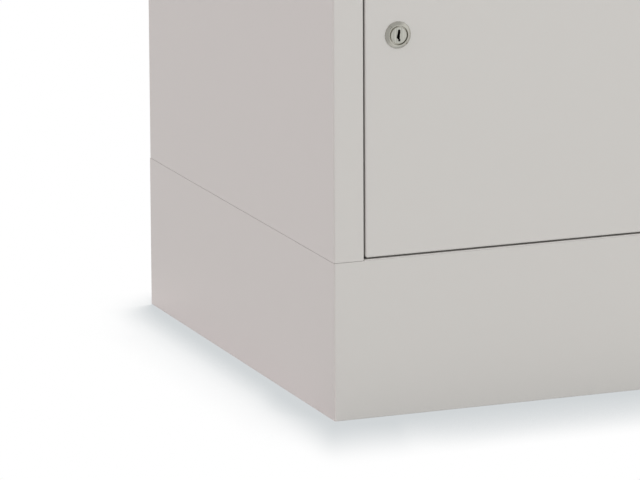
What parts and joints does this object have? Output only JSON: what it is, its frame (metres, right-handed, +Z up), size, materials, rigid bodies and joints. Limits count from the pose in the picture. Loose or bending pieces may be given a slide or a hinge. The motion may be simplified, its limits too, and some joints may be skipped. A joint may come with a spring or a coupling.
{
  "type": "compartment locker",
  "caption": "Sheet-steel compartment locker: a column of closed compartments with flush hinged doors and cylinder cam locks, on a closed plinth.",
  "frame": {"origin": "bottom centre of the bounding box, on the floor; the lock rings stand proud of the front", "axes": "+Z up, -Y towards the user in front of the doors, +X to the right as seen from the front"},
  "size_m": [0.4, 0.503, 1.85],
  "materials": {
    "powder_coat": "light grey powder coat, fine orange peel, half matt",
    "nickel": "satin nickel plate on die-cast zinc",
    "zinc_steel": "bright zinc plate",
    "nylon": "natural nylon",
    "rubber": "soft black rubber",
    "black_plastic": "moulded black plastic"
  },
  "bodies": {
    "root": {"left_side_panel": "powder_coat", "right_side_panel": "powder_coat", "back_panel": "powder_coat", "top_panel": "powder_coat", "bottom_panel": "powder_coat", "shelf_1": "powder_coat", "shelf_2": "powder_coat", "shelf_3": "powder_coat", "stop_rail_1": "powder_coat", "stop_rail_2": "powder_coat", "stop_rail_3": "powder_coat", "hinge_pins": "zinc_steel", "plinth_frame": "powder_coat", "plinth_rear_rail": "powder_coat", "plinth_brackets": "powder_coat", "foot_pads": "black_plastic", "levelling_screws": "zinc_steel", "levelling_nuts": "zinc_steel", "plinth_bolts": "zinc_steel", "plinth_nuts": "zinc_steel"},
    "door_1": {"door_1_pan": "powder_coat", "door_1_stiffener": "powder_coat", "door_1_bushes": "nylon", "door_1_buffers": "rubber", "lock_1_housing": "nickel", "lock_1_nut": "zinc_steel"},
    "lock_1": {"lock_1_core": "nickel", "lock_1_cam": "zinc_steel", "lock_1_cam_screw": "zinc_steel"},
    "door_2": {"door_2_pan": "powder_coat", "door_2_stiffener": "powder_coat", "door_2_bushes": "nylon", "door_2_buffers": "rubber", "lock_2_housing": "nickel", "lock_2_nut": "zinc_steel"},
    "lock_2": {"lock_2_core": "nickel", "lock_2_cam": "zinc_steel", "lock_2_cam_screw": "zinc_steel"},
    "door_3": {"door_3_pan": "powder_coat", "door_3_stiffener": "powder_coat", "door_3_bushes": "nylon", "door_3_buffers": "rubber", "lock_3_housing": "nickel", "lock_3_nut": "zinc_steel"},
    "lock_3": {"lock_3_core": "nickel", "lock_3_cam": "zinc_steel", "lock_3_cam_screw": "zinc_steel"},
    "door_4": {"door_4_pan": "powder_coat", "door_4_stiffener": "powder_coat", "door_4_bushes": "nylon", "door_4_buffers": "rubber", "lock_4_housing": "nickel", "lock_4_nut": "zinc_steel"},
    "lock_4": {"lock_4_core": "nickel", "lock_4_cam": "zinc_steel", "lock_4_cam_screw": "zinc_steel"}
  },
  "joints": [
    {"name": "door_1_hinge", "type": "hinge", "parent": "root", "child": "door_1", "pos_m": [0.1607, -0.243, 0.1525], "axis": [0, 0, 1], "range_deg": [0, 110]},
    {"name": "lock_1_turn", "type": "hinge", "parent": "door_1", "child": "lock_1", "pos_m": [-0.1363, -0.2485, 0.35935], "axis": [0, 1, 0], "range_deg": [0, 90]},
    {"name": "door_2_hinge", "type": "hinge", "parent": "root", "child": "door_2", "pos_m": [0.1607, -0.243, 0.57], "axis": [0, 0, 1], "range_deg": [0, 110]},
    {"name": "lock_2_turn", "type": "hinge", "parent": "door_2", "child": "lock_2", "pos_m": [-0.1363, -0.2485, 0.77685], "axis": [0, 1, 0], "range_deg": [0, 90]},
    {"name": "door_3_hinge", "type": "hinge", "parent": "root", "child": "door_3", "pos_m": [0.1607, -0.243, 0.9875], "axis": [0, 0, 1], "range_deg": [0, 110]},
    {"name": "lock_3_turn", "type": "hinge", "parent": "door_3", "child": "lock_3", "pos_m": [-0.1363, -0.2485, 1.19435], "axis": [0, 1, 0], "range_deg": [0, 90]},
    {"name": "door_4_hinge", "type": "hinge", "parent": "root", "child": "door_4", "pos_m": [0.1607, -0.243, 1.405], "axis": [0, 0, 1], "range_deg": [0, 110]},
    {"name": "lock_4_turn", "type": "hinge", "parent": "door_4", "child": "lock_4", "pos_m": [-0.1363, -0.2485, 1.61185], "axis": [0, 1, 0], "range_deg": [0, 90]}
  ]
}
